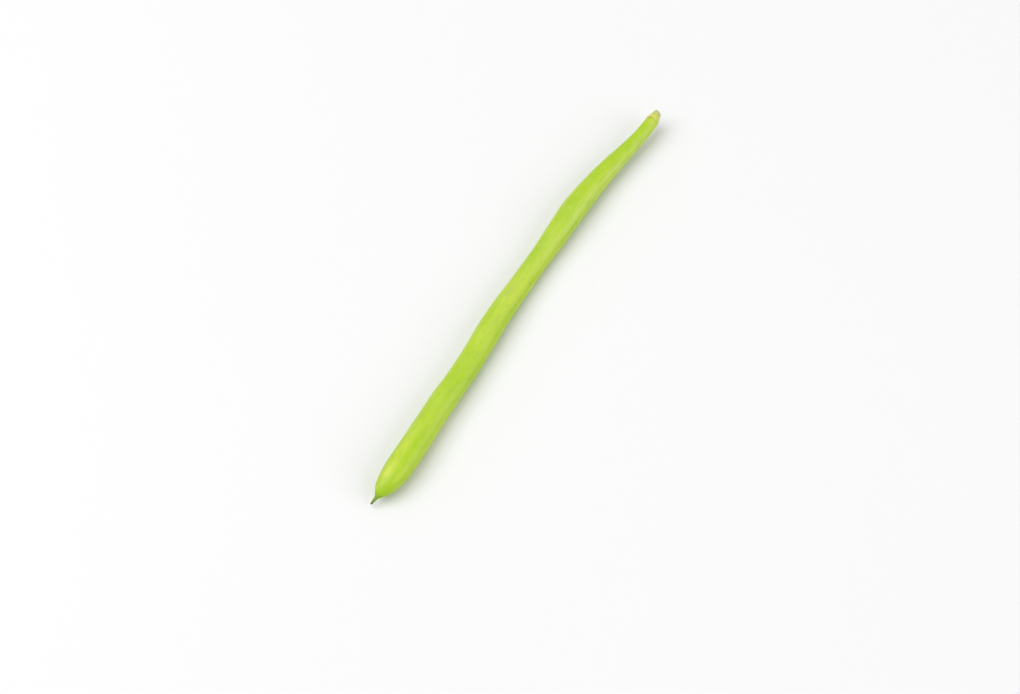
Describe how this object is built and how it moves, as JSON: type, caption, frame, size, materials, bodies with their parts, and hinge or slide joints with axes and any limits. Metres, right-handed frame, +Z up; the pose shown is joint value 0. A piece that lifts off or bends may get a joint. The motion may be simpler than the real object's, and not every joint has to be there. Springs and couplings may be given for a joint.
{
  "type": "green bean",
  "caption": "Slender fresh bean pod lying on its side, with a tapering neck, dry calyx, broken stem stub and a fine curved beak.",
  "frame": {"origin": "on the table, under the middle of the bean's box", "axes": "+X along the bean from the beak to the stem end, +Y to the side that the bean bows towards, +Z up from the table"},
  "size_m": [0.1506, 0.0108, 0.0074],
  "materials": {
    "pod_skin": null,
    "dry_calyx": null,
    "broken_stem": null
  },
  "bodies": {
    "root": {"pod": "pod_skin", "calyx": "dry_calyx", "stem_stub": "broken_stem"}
  },
  "joints": []
}
